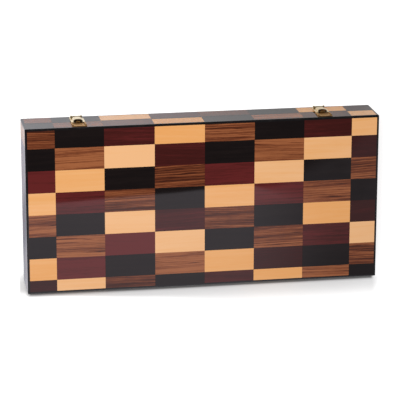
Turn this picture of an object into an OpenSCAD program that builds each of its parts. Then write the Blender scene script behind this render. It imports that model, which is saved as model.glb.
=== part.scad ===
// Inlaid backgammon set: a folding wooden case with an inlaid chequer outside, a playing field inside,
// brass hinges and latches, and its checkers, dice, dice cups and doubling cube.
// It lies closed on a table: X runs along the case, +Y is the latch side, -Y the hinge side, Z is up.
// The lower half is the base and the upper half is the lid.

/* [Case] */
// Length of the closed case
case_len = 482.6; // [460:0.1:500]
// Width of the closed case, from hinge side to latch side
case_wid = 229.8; // [224:0.1:236]
// Height of one half, from its big face to its rim
half_h = 30.3; // [28:0.1:34]
// Gap between the two rims when closed
seam_gap = 0.3; // [0.2:0.05:0.5]
// Thickness of the inlaid wood on every outer face
skin_t = 1; // [0.8:0.1:1.2]
// Width of the black edge banding
band_w = 2.3; // [2:0.1:2.6]
// Rounding of the outer edges
edge_r = 1.6; // [1:0.1:2]
// Thickness of the panel behind the big face
panel_t = 4; // [3:0.5:5]
// Thickness of a rail, inlay included
rail_t = 9; // [8.8:0.1:10]
// Height of the black rim strip on top of the rails
rim_h = 2; // [1.8:0.1:2.2]

/* [Inlay] */
// Length of a full block along the case
block_len = 68.2; // [66:0.1:69]
// Length of the second and second-to-last block
block_len_side = 66; // [65:0.1:67]
// Distance from the left end to the first joint between blocks
first_joint_x = 39.7; // [38:0.1:41]
// Width of a full block across the case
block_wid = 30.6; // [30:0.1:31]
// Distance from the latch side to the first joint between blocks
first_joint_y = 27.5; // [26:0.1:29]
// First joint between blocks on the two ends, from the latch side
first_joint_end = 25.2; // [24:0.1:27]
// Glue line between two blocks
glue_line = 0.06; // [0.04:0.01:0.1]

/* [Playing field] */
// Thickness of the playing field's board
field_t = 3; // [2.5:0.5:3]
// Width of the tray along the latch side
tray_wid = 31.8; // [31:0.1:33]
// Thickness of the divider between field and tray
divider_t = 6; // [5:0.5:7]
// Length of a point
point_len = 185; // [170:1:200]
// Depth of the wood of a point
point_t = 0.8; // [0.6:0.1:1]
// Thickness of the felt in the tray
felt_t = 1; // [0.8:0.1:1.2]

/* [Hinges] */
// Distance of each hinge's middle from the middle of the case
hinge_x = 150; // [100:1:180]
// Length of a hinge
hinge_len = 38; // [36:0.5:40]
// Width of a leaf, from the axis
leaf_wid = 8.2; // [7.5:0.1:8.6]
// Thickness of a leaf
leaf_t = 1.2; // [1:0.1:1.3]
// Outer radius of the hinge barrel
barrel_r = 2.2; // [2:0.1:2.3]
// Radius of the hinge pin
hinge_pin_r = 1; // [0.9:0.05:1.1]
// Distance of the axis outside the hinge side
axis_out = 0.2; // [0.15:0.05:0.4]

/* [Latches] */
// Distance of each latch's middle from the middle of the case
latch_x = 167.3; // [140:0.1:180]
// Width of the catch plate on the lid
catch_wid = 20; // [18:0.5:22]
// Width of the hasp over its two flanges
hasp_wid = 18.6; // [17:0.1:19]
// Width of the hasp's dome inside
dome_wid = 10.8; // [10:0.1:12]
// Height of the hasp's dome inside
dome_rise = 3.3; // [2.5:0.1:3.6]
// How far the hasp's open mouth reaches above the seam
mouth_up = 9; // [8:0.5:10]
// Distance of the hasp's pivot below the seam
latch_pivot_down = 16.5; // [15:0.5:18]
// Distance of the hasp's pivot outside the case
latch_pivot_out = 2.7; // [2.6:0.1:3]
// Thickness of the brass sheet of the latches
sheet_t = 0.8; // [0.7:0.05:0.9]

/* [Game pieces] */
// Diameter of a checker
checker_d = 28; // [26:0.5:29]
// Thickness of a checker
checker_t = 7; // [6:0.5:8]
// Number of checkers of each colour
checker_count = 15; // [15:1:15]
// Outer diameter of a dice cup
cup_d = 42; // [38:0.5:42]
// Length of a dice cup
cup_len = 78; // [70:1:80]
// Wall of a dice cup
cup_wall = 2.5; // [2:0.1:3]
// Side of a die
die_a = 14; // [12:0.5:15]
// Side of the doubling cube
cube_a = 20; // [18:0.5:22]

/* [Hidden] */
$fn = 48;
HALVES = ["base", "lid"];

// A cut runs this far past the face that it leaves
over = 1;
// The seam's middle plane, on which the hinge axis lies
seam_z = half_h + seam_gap / 2;
half_len = case_len / 2;
half_wid = case_wid / 2;
panel_top = skin_t + panel_t;
field_top = panel_top + field_t;
rail_top = half_h - rim_h;
inner_x = half_len - rail_t;
inner_y = half_wid - rail_t;
divider_y = inner_y - tray_wid - divider_t;
tray_mid_y = inner_y - tray_wid / 2;
felt_top = panel_top + felt_t;
axis_y = -half_wid - axis_out;

// The four woods, and their order in the rows of blocks, each row repeating after four blocks
WALNUT = 0;
BLACK = 1;
BURGUNDY = 2;
MAPLE = 3;
WOOD_COLOURS = ["#7d4a2a", "#1c1817", "#5a1f20", "#eeb26e"];
ROWS = [[0, 1, 2, 3], [1, 0, 3, 2], [2, 3, 1, 0], [3, 2, 0, 1],
    [0, 1, 3, 2], [1, 0, 2, 3], [3, 2, 1, 0], [2, 3, 0, 1]];
// Rows used on the latch side of the base and of the lid, on the hinge sides and on the ends
LATCH_SIDE_ROW = [4, 5];
HINGE_SIDE_ROW = [2, 7];
END_ROW = [3, 6];
joints_x = [-half_len + band_w,
    for (i = [0:6]) -half_len + first_joint_x + (i == 0 ? 0 : block_len_side)
        + block_len * max(0, min(i - 1, 4)) + (i == 6 ? block_len_side : 0),
    half_len - band_w];
joints_y = [half_wid - band_w, for (i = [0:6]) half_wid - first_joint_y - i * block_wid,
    -half_wid + band_w];
joints_end = [half_wid - band_w, for (i = [0:2]) half_wid - first_joint_end - i * block_len,
    -half_wid + band_w];

point_wid = (divider_y + inner_y) / 6;

hinge_knuckles = 5;
knuckle_len = hinge_len / hinge_knuckles;
knuckle_gap = 0.2;
knuckle_clear = 0.3;
pin_clear = 0.05;
cove_r = barrel_r + 0.4;
cove_len = hinge_len + 1;
leaf_recess_clear = 0.1;
screw_r = 1.1;
screw_head_r = 2;
screw_head_h = 0.8;
screw_len = 9;
screw_spacing = 13;
screw_in = 4.6;

latch_pin_r = 0.8;
hasp_barrel_r = 1.6;
hasp_neck_wid = 12;
hasp_neck_end = -12.5;
hasp_lift = 0.3;
ear_t = 1.6;
ear_r = 2.3;
ear_gap = 0.2;
dome_r = (pow(dome_wid / 2, 2) + pow(dome_rise, 2)) / (2 * dome_rise);
catch_up = [4, 26.5];
plate_down = [8.5, 25];
plate_wid = 18;
bead_r = 1.3;
bead_up = [10, 21.5];
nose_wid = 6;
nose_r = 1.8;
nose_up = 6;
nail_r = 0.5;
nail_head_r = 1.1;
nail_head_h = 0.5;
nail_len = 6;
nail_x = 6.4;
catch_nail_up = 24.6;
plate_nail_up = -22.8;

rest_gap = 0.3;
checker_pitch = checker_t + 0.1;
row_len = checker_pitch * (checker_count - 1) + checker_t;
row_end_gap = 1;
checker_edge_r = 1.6;
cup_base_t = 4;
cup_end_gap = 4;
cup_y = -30;
cup_z = field_top + cup_d / 2 + rest_gap;
cup_lining_t = 1;
cup_bore_r = cup_d / 2 - cup_wall;
dice_seat_gap = 0.1;
dice_gap = 1;
die_round = 1.42;
cube_round = 1.5;

// Turns the base's own pieces over the seam, which makes the lid's
module to_half(half) {
    if (half == "lid") translate([0, 0, 2 * seam_z]) mirror([0, 0, 1]) children();
    else children();
}

function sides(half) = half == "base" ? 0 : 1;

// Height of the latch's nails from the seam, as drawn before the lid is turned over
function nail_up(half) = half == "lid" ? -catch_nail_up : plate_nail_up;

// A box between two corners
module span(low, high) {
    translate(low) cube(high - low);
}

// An oblong with round corners, made of true arcs; upper corners can stay square
module round_oblong(w, h, r, square_top = false) {
    square([w - 2 * r, h], center = true);
    square([w, h - 2 * r], center = true);
    for (x = [-1, 1], y = [-1, 1]) translate([x * (w / 2 - r), y * (h / 2 - r)]) circle(r);
    if (square_top) translate([-w / 2, 0]) square([w, h / 2]);
}

// The outer form of one half: round at the big face and at the four upright corners
module half_form() {
    intersection() {
        linear_extrude(half_h) round_oblong(case_len, case_wid, edge_r);
        translate([0, half_wid, half_h / 2]) rotate([90, 0, 0])
            linear_extrude(case_wid) round_oblong(case_len, half_h, edge_r, true);
        translate([-half_len, 0, half_h / 2]) rotate([90, 0, 90])
            linear_extrude(case_len) round_oblong(case_wid, half_h, edge_r, true);
    }
}

// Room for the hinge barrels and leaves in the hinge side of one half
module hinge_coves() {
    for (s = [-1, 1]) translate([s * hinge_x, axis_y, seam_z]) {
        rotate([0, 90, 0]) cylinder(h = cove_len, r = cove_r, center = true);
        span([-hinge_len / 2 - leaf_recess_clear, 0, -seam_gap / 2 - leaf_t],
            [hinge_len / 2 + leaf_recess_clear, leaf_wid + leaf_recess_clear, over]);
    }
}

module screw_places() {
    for (s = [-1, 1], i = [-1, 0, 1])
        translate([s * hinge_x + i * screw_spacing, axis_y + screw_in, half_h]) children();
}

module nail_places(up) {
    for (s = [-1, 1], x = [-1, 1])
        translate([s * latch_x + x * nail_x, half_wid, seam_z + up]) children();
}

// A hole for a nail or screw shank, drilled inwards from the latch side
module nail_hole() {
    rotate([90, 0, 0]) cylinder(h = nail_len, r = nail_r);
}

module panel() {
    span([-half_len + band_w, -half_wid + band_w, skin_t], [half_len - band_w, half_wid - band_w, band_w]);
    difference() {
        span([-half_len + skin_t, -half_wid + skin_t, band_w], [half_len - skin_t, half_wid - skin_t, panel_top]);
        corner_posts();
    }
}

// The square space of the four upright corner strips
module corner_posts() {
    for (x = [-1, 1], y = [-1, 1]) translate([x * (half_len - band_w / 2), y * (half_wid - band_w / 2), half_h / 2])
        cube([band_w, band_w, half_h - 2 * band_w + over], center = true);
}

module long_rail(y_low, y_high) {
    difference() {
        span([-half_len + skin_t, y_low, panel_top], [half_len - skin_t, y_high, rail_top]);
        corner_posts();
    }
}

module hinge_rail() {
    difference() {
        long_rail(-half_wid + skin_t, -inner_y);
        hinge_coves();
        screw_places() translate([0, 0, -screw_len]) cylinder(h = screw_len, r = screw_r);
    }
}

module latch_rail(half) {
    difference() {
        long_rail(inner_y, half_wid - skin_t);
        nail_places(nail_up(half)) nail_hole();
    }
}

module end_rail(x_low, x_high) {
    span([x_low, -inner_y, panel_top], [x_high, inner_y, rail_top]);
}

// Four black strips on top of the rails, with the hinge leaves let in
module rim() {
    difference() {
        intersection() {
            union() {
                for (y = [-half_wid, inner_y]) span([-half_len, y, rail_top], [half_len, y + rail_t, half_h]);
                for (x = [-half_len, inner_x])
                    span([x, -inner_y + glue_line, rail_top], [x + rail_t, inner_y - glue_line, half_h]);
            }
            half_form();
        }
        hinge_coves();
        screw_places() translate([0, 0, -screw_len]) cylinder(h = screw_len, r = screw_r);
    }
}

// Solid black strips let into the edges: four round the big face and four upright in the corners
module edge_banding() {
    intersection() {
        union() {
            for (y = [-half_wid, half_wid - band_w]) span([-half_len, y, 0], [half_len, y + band_w, band_w]);
            for (x = [-half_len, half_len - band_w])
                span([x, -half_wid + band_w + glue_line, 0], [x + band_w, half_wid - band_w - glue_line, band_w]);
            for (x = [-half_len, half_len - band_w], y = [-half_wid, half_wid - band_w])
                span([x, y, band_w + glue_line], [x + band_w, y + band_w, rail_top]);
        }
        half_form();
    }
}

// One block of the inlay, drawn a glue line smaller than its place
module block(low, high) {
    g = glue_line / 2;
    span(low + [g, g, g], high - [g, g, g]);
}

// The blocks of one wood on the big face and on the four sides of one half
module inlay(half, wood) {
    h = sides(half);
    g = glue_line / 2;
    for (row = [0:7], col = [0:7]) if (ROWS[row][col % 4] == wood)
        block([joints_x[col], joints_y[row + 1], -g], [joints_x[col + 1], joints_y[row], skin_t + g]);
    difference() {
        for (col = [0:7]) if (ROWS[LATCH_SIDE_ROW[h]][col % 4] == wood)
            block([joints_x[col], half_wid - skin_t - g, band_w], [joints_x[col + 1], half_wid + g, rail_top]);
        nail_places(nail_up(half)) nail_hole();
    }
    difference() {
        for (col = [0:7]) if (ROWS[HINGE_SIDE_ROW[h]][col % 4] == wood)
            block([joints_x[col], -half_wid - g, band_w], [joints_x[col + 1], -half_wid + skin_t + g, rail_top]);
        hinge_coves();
    }
    for (row = [0:3]) if (ROWS[END_ROW[h]][row] == wood) {
        block([-half_len - g, joints_end[row + 1], band_w], [-half_len + skin_t + g, joints_end[row], rail_top]);
        block([half_len - skin_t - g, joints_end[row + 1], band_w], [half_len + g, joints_end[row], rail_top]);
    }
}

// Wood of one colour for the points; the two ends of the field face each other with opposite colours
module points(parity, depth) {
    for (side = [-1, 1], i = [0:5]) if ((i + (side > 0 ? 1 : 0)) % 2 == parity)
        translate([side * inner_x, -inner_y + (i + 0.5) * point_wid, field_top - depth])
            linear_extrude(depth) polygon([[0, -point_wid / 2 + glue_line], [0, point_wid / 2 - glue_line],
                [-side * point_len, 0]]);
}

module playing_field() {
    difference() {
        span([-inner_x, -inner_y, panel_top], [inner_x, divider_y, field_top]);
        translate([0, 0, over]) for (parity = [0, 1]) points(parity, point_t + over);
    }
}

module tray_divider() {
    span([-inner_x, divider_y, panel_top], [inner_x, divider_y + divider_t, half_h]);
}

module tray_lining() {
    span([-inner_x, inner_y - tray_wid, panel_top], [inner_x, inner_y, felt_top]);
}

// A hinge leaf with its knuckles; parity 0 has the outer knuckles and parity 1 the ones between
module hinge_leaf(parity, bore_r) {
    difference() {
        union() {
            span([-hinge_len / 2, 0, -seam_gap / 2 - leaf_t], [hinge_len / 2, leaf_wid, -seam_gap / 2]);
            knuckle_places(parity) rotate([0, 90, 0])
                cylinder(h = knuckle_len - knuckle_gap, r = barrel_r, center = true);
        }
        rotate([0, 90, 0]) cylinder(h = hinge_len + over, r = bore_r, center = true);
        knuckle_places(1 - parity) rotate([0, 90, 0])
            cylinder(h = knuckle_len + knuckle_gap, r = barrel_r + knuckle_clear, center = true);
        for (i = [-1, 0, 1]) translate([i * screw_spacing, screw_in, -seam_gap / 2]) screw_form();
    }
}

module knuckle_places(parity) {
    for (i = [parity:2:hinge_knuckles - 1])
        translate([-hinge_len / 2 + (i + 0.5) * knuckle_len, 0, 0]) children();
}

// A countersunk screw, its head level with z = 0 and its shank below
module screw_form() {
    translate([0, 0, -screw_head_h]) cylinder(h = screw_head_h, r1 = screw_r, r2 = screw_head_r);
    translate([0, 0, -screw_len]) cylinder(h = screw_len, r = screw_r);
}

module hinge_pin() {
    rotate([0, 90, 0]) cylinder(h = hinge_len - knuckle_gap, r = hinge_pin_r, center = true);
}

module at_hinge(side) {
    translate([side * hinge_x, axis_y, seam_z]) children();
}

module at_latch(side) {
    translate([side * latch_x, half_wid, seam_z]) children();
}

// A sheet across the latch, drawn as its outline in Y and Z and cut to its width
module across(w) {
    translate([-w / 2, 0, 0]) rotate([90, 0, 90]) linear_extrude(w) children();
}

// Two nail holes through a plate of the latch
module plate_holes(up) {
    for (s = [-1, 1]) translate([s * nail_x, over, up])
        rotate([90, 0, 0]) cylinder(h = 2 * over, r = nail_r);
}

// Plate nailed to the base, with the two ears that hold the pin
module latch_plate() {
    difference() {
        union() {
            span([-plate_wid / 2, 0, -plate_down[1]], [plate_wid / 2, sheet_t, -plate_down[0]]);
            for (s = [-1, 1]) translate([s * (hasp_neck_wid / 2 + ear_gap + ear_t / 2), 0, -latch_pivot_down])
                across(ear_t) {
                    translate([latch_pivot_out, 0]) circle(ear_r);
                    translate([0, -ear_r]) square([latch_pivot_out, 2 * ear_r]);
                }
        }
        translate([0, latch_pivot_out, -latch_pivot_down]) rotate([0, 90, 0])
            cylinder(h = plate_wid + over, r = latch_pin_r, center = true);
        plate_holes(plate_nail_up);
    }
}

module latch_pin() {
    translate([0, latch_pivot_out, -latch_pivot_down]) rotate([0, 90, 0])
        cylinder(h = hasp_neck_wid + 2 * (ear_gap + ear_t), r = latch_pin_r, center = true);
}

// Outline of the dome across the hasp, outside or inside
module dome_outline(r) {
    intersection() {
        translate([0, dome_rise - dome_r]) circle(r, $fn = 96);
        translate([-dome_wid, 0]) square([2 * dome_wid, dome_rise + 2 * sheet_t]);
    }
}

// The hasp: a dome between two flanges, open at the lid end, on a neck that turns on the pin
module latch_hasp() {
    difference() {
        union() {
            translate([0, sheet_t + hasp_lift, hasp_neck_end]) {
                linear_extrude(mouth_up - hasp_neck_end) difference() {
                    union() {
                        translate([-hasp_wid / 2, 0]) square([hasp_wid, sheet_t]);
                        dome_outline(dome_r + sheet_t);
                    }
                    dome_outline(dome_r);
                }
                linear_extrude(sheet_t) dome_outline(dome_r + sheet_t / 2);
                span([-hasp_neck_wid / 2, 0, -latch_pivot_down - hasp_neck_end],
                    [hasp_neck_wid / 2, sheet_t, sheet_t]);
            }
            translate([0, 0, -latch_pivot_down]) across(hasp_neck_wid)
                translate([latch_pivot_out, 0]) circle(hasp_barrel_r);
        }
        translate([0, latch_pivot_out, -latch_pivot_down]) rotate([0, 90, 0])
            cylinder(h = hasp_neck_wid + over, r = latch_pin_r + pin_clear, center = true);
    }
}

// Catch plate nailed to the lid: a rounded nose that lies under the dome, and a bead along each side
module latch_catch() {
    difference() {
        union() {
            span([-catch_wid / 2, 0, catch_up[0]], [catch_wid / 2, sheet_t, catch_up[1]]);
            intersection() {
                for (s = [-1, 1]) translate([s * (catch_wid / 2 - bead_r), sheet_t, 0]) {
                    translate([0, 0, bead_up[0]]) cylinder(h = bead_up[1] - bead_up[0], r = bead_r);
                    translate([0, 0, bead_up[1]]) sphere(bead_r);
                }
                span([-catch_wid / 2, 0, catch_up[0]], [catch_wid / 2, latch_pivot_out, catch_up[1]]);
            }
            translate([0, 0, nose_up]) across(nose_wid) intersection() {
                translate([sheet_t, 0]) circle(nose_r);
                translate([0, -nose_r]) square([sheet_t + nose_r, 2 * nose_r]);
            }
        }
        plate_holes(catch_nail_up);
    }
}

// A round-headed nail driven inwards from the latch side
module nail() {
    rotate([90, 0, 0]) cylinder(h = nail_len, r = nail_r);
    translate([0, sheet_t + nail_head_h, 0]) rotate([90, 0, 0])
        cylinder(h = nail_head_h, r1 = nail_head_r * 0.6, r2 = nail_head_r);
    translate([0, sheet_t, 0]) rotate([90, 0, 0]) cylinder(h = sheet_t, r = nail_r);
}

// A checker with round edges and a shallow dish in each face, its axis along X
module checker() {
    r = checker_d / 2;
    e = checker_edge_r;
    t = checker_t / 2;
    rotate([0, 90, 0]) rotate_extrude($fn = 64) {
        for (s = [-1, 1]) translate([r - e, s * (t - e)]) intersection() {
            circle(e);
            translate([-e, -e]) square(2 * e);
        }
        translate([0, -t + e]) square([r, 2 * (t - e)]);
        translate([r * 0.62, -t]) square([r * 0.38 - e, 2 * t]);
        translate([0, -t + 0.6]) square([r * 0.62, 2 * (t - 0.6)]);
    }
}

module checker_row(side) {
    for (i = [0:checker_count - 1])
        translate([side * (inner_x - row_end_gap - checker_t / 2 - i * checker_pitch), tray_mid_y,
            felt_top + rest_gap + checker_d / 2]) checker();
}

module at_cup(side) {
    translate([side * (inner_x - cup_end_gap), cup_y, cup_z]) rotate([0, 0, side > 0 ? 180 : 0]) children();
}

// A dice cup lying on its side: its base at x = 0 and its mouth towards +X
module dice_cup() {
    rotate([0, 90, 0]) rotate_extrude($fn = 72) difference() {
        union() {
            square([cup_d / 2 - 0.8, cup_len]);
            square([cup_d / 2, 9]);
            translate([0, cup_len - 7]) square([cup_d / 2, 7]);
        }
        translate([0, cup_base_t]) square([cup_bore_r, cup_len]);
    }
}

module cup_lining() {
    rotate([0, 90, 0]) rotate_extrude($fn = 72) difference() {
        translate([0, cup_base_t]) square([cup_bore_r, cup_len - cup_base_t - 2]);
        translate([0, cup_base_t + cup_lining_t]) square([cup_bore_r - cup_lining_t, cup_len]);
    }
}

// A cube with its corners rounded by a sphere
module rounded_cube(a, roundness) {
    intersection() {
        cube(a, center = true);
        sphere(a / 2 * roundness, $fn = 64);
    }
}

// Two dice that lie in the bottom of a cup, on its lining
module dice() {
    bed_r = cup_bore_r - cup_lining_t;
    drop = sqrt(pow(bed_r, 2) - pow(die_a / 2, 2)) - die_a / 2 - dice_seat_gap;
    for (i = [0, 1])
        translate([cup_base_t + cup_lining_t + dice_gap + die_a / 2 + i * (die_a + dice_gap), 0, -drop])
            rounded_cube(die_a, die_round);
}

module doubling_cube() {
    color("#efe3c4") translate([0, tray_mid_y, felt_top + rest_gap + cube_a / 2]) rounded_cube(cube_a, cube_round);
}

for (half = HALVES) {
    color("#8a6a48") to_half(half) panel();
    color("#2a2422") to_half(half) hinge_rail();
    color("#2a2422") to_half(half) latch_rail(half);
    color("#2a2422") to_half(half) end_rail(-half_len + skin_t, -inner_x);
    color("#2a2422") to_half(half) end_rail(inner_x, half_len - skin_t);
    color("#151313") to_half(half) rim();
    color("#151313") to_half(half) edge_banding();
    color(WOOD_COLOURS[WALNUT]) to_half(half) inlay(half, WALNUT);
    color(WOOD_COLOURS[BLACK]) to_half(half) inlay(half, BLACK);
    color(WOOD_COLOURS[BURGUNDY]) to_half(half) inlay(half, BURGUNDY);
    color(WOOD_COLOURS[MAPLE]) to_half(half) inlay(half, MAPLE);
    color(WOOD_COLOURS[WALNUT]) to_half(half) playing_field();
    color(WOOD_COLOURS[MAPLE]) to_half(half) points(0, point_t);
    color(WOOD_COLOURS[BLACK]) to_half(half) points(1, point_t);
    color("#2a2422") to_half(half) tray_divider();
    color("#6b1f26") to_half(half) tray_lining();
    color("#c9a24a") to_half(half) screw_places() screw_form();
}

for (side = [-1, 1]) {
    name = side < 0 ? "left" : "right";
    color("#d2a850") at_hinge(side) hinge_leaf(0, hinge_pin_r);
    color("#d2a850") at_hinge(side) mirror([0, 0, 1]) hinge_leaf(1, hinge_pin_r + pin_clear);
    color("#b58c3c") at_hinge(side) hinge_pin();
    color("#d2a850") at_latch(side) latch_plate();
    color("#e0b864") at_latch(side) latch_hasp();
    color("#b58c3c") at_latch(side) latch_pin();
    color("#d2a850") at_latch(side) latch_catch();
    color("#2b1a14") at_cup(side) dice_cup();
    color("#6b1f26") at_cup(side) cup_lining();
}

color("#b58c3c") nail_places(catch_nail_up) nail();  // catch_nails
color("#b58c3c") nail_places(plate_nail_up) nail();  // plate_nails
color("#eeb26e") checker_row(-1);  // light_checkers
color("#1c1817") checker_row(1);  // dark_checkers
color("#f2ead8") at_cup(-1) dice();  // light_dice
color("#5a1f20") at_cup(1) dice();  // dark_dice
doubling_cube();
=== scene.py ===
"""Looks of the inlaid backgammon set: lacquered inlay, brass fittings, playing fields and game pieces.

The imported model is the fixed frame. Its wooden, felt and hinge nodes keep their CAD meshes and get their
finishes here; the latches, nails, screws, checkers, dice cups, dice and doubling cube are modelled in full
and stand for their nodes.
"""

import logging
import math
from collections.abc import Callable, Iterable
from dataclasses import dataclass
from enum import Enum
from itertools import product
from typing import Any

import bmesh
import bpy
from mathutils import Matrix, Vector

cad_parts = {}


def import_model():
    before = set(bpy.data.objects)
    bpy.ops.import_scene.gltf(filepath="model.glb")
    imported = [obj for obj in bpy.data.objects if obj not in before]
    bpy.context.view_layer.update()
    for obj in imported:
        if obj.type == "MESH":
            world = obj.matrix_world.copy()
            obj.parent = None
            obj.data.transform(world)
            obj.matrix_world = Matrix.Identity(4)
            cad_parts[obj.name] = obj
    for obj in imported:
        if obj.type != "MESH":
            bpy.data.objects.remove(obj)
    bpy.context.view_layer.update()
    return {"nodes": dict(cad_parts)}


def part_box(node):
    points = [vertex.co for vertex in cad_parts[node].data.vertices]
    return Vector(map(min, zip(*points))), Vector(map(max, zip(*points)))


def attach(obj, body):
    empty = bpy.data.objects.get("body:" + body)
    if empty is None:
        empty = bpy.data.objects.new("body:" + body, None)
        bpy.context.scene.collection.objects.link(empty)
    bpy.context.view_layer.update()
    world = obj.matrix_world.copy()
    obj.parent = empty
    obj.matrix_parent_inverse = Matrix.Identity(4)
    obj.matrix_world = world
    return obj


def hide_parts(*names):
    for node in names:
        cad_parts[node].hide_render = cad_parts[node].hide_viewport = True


LOG = logging.getLogger("backgammon_set")
MM = 0.001
Colour = tuple[float, float, float]
Outline = list[tuple[float, float]]
Form = bmesh.types.BMesh
Socket = bpy.types.NodeSocket
WHITE: Colour = (1.0, 1.0, 1.0)
BANDING_BLACK: Colour = (0.006, 0.0055, 0.006)
LACQUER_IOR = 1.5


class Side(Enum):
    """The two ends of the case, by the sign of X."""

    LEFT = -1
    RIGHT = 1

    @property
    def word(self) -> str:
        """The side's word in node names."""
        return self.name.lower()


class Half(Enum):
    """The two halves of the case, by their word in node and body names."""

    BASE = "base"
    LID = "lid"


@dataclass(frozen=True)
class CaseSizes:
    """Main places of the case in metres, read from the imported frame, and the sizes of its blocks."""

    half_len: float
    half_wid: float
    half_h: float
    seam_z: float
    height: float
    first_joint_x: float = 39.7 * MM
    block_len: float = 68.2 * MM
    block_len_side: float = 66 * MM
    first_joint_y: float = 27.5 * MM
    block_wid: float = 30.6 * MM
    first_joint_end: float = 25.2 * MM

    @classmethod
    def from_frame(cls) -> "CaseSizes":
        """Reads the case's outer sizes from the black edge pieces."""
        base_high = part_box("base_rim")[1]
        lid_low, lid_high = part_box("lid_rim")[0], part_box("lid_edge_banding")[1]
        return cls(base_high.x, base_high.y, base_high.z, (base_high.z + lid_low.z) / 2, lid_high.z)

    @property
    def joints_x(self) -> list[float]:
        """Places of the joints between blocks along the case."""
        first = -self.half_len + self.first_joint_x
        second = first + self.block_len_side
        inner = [second + i * self.block_len for i in range(5)]
        return [first, *inner, inner[-1] + self.block_len_side]

    @property
    def joints_y(self) -> list[float]:
        """Places of the joints between blocks across the case."""
        return [self.half_wid - self.first_joint_y - i * self.block_wid for i in range(7)]

    @property
    def joints_end(self) -> list[float]:
        """Places of the joints between blocks on the two ends."""
        return [self.half_wid - self.first_joint_end - i * self.block_len for i in range(3)]


def maths(operation: str, swapped: bool = False) -> Callable[..., "Val"]:
    """Makes a method of Val that adds one Math node.

    Args:
        operation: The node's operation.
        swapped: True where the other value comes first.

    Returns:
        The method.
    """

    def method(self: "Val", *others: "Val | float") -> "Val":
        """Adds the node and hands out its result."""
        values = (*others, self) if swapped else (self, *others)
        made = self.shader.node("ShaderNodeMath", dict(enumerate(values)), operation=operation)
        return Val(self.shader, made.outputs[0])

    return method


class Val:
    """A number in a shader: a socket whose arithmetic adds Math nodes; comparisons give one or zero."""

    def __init__(self, shader: "Shader", socket: Socket) -> None:
        """Wraps a socket of one shader."""
        self.shader = shader
        self.socket = socket

    __add__ = __radd__ = maths("ADD")
    __sub__ = maths("SUBTRACT")
    __rsub__ = maths("SUBTRACT", swapped=True)
    __mul__ = __rmul__ = maths("MULTIPLY")
    __truediv__ = maths("DIVIDE")
    __gt__ = maths("GREATER_THAN")
    __lt__ = maths("LESS_THAN")
    __abs__ = maths("ABSOLUTE")
    floor = maths("FLOOR")
    maximum = maths("MAXIMUM")

    def rise(self, low: float, high: float) -> "Val":
        """Rises smoothly from 0 at low to 1 at high."""
        inputs = {"Value": self, "From Min": low, "From Max": high}
        made = self.shader.node("ShaderNodeMapRange", inputs, interpolation_type="SMOOTHSTEP")
        return Val(self.shader, made.outputs[0])

    def fall(self, low: float, high: float) -> "Val":
        """Falls smoothly from 1 at low to 0 at high."""
        return 1 - self.rise(low, high)


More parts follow.
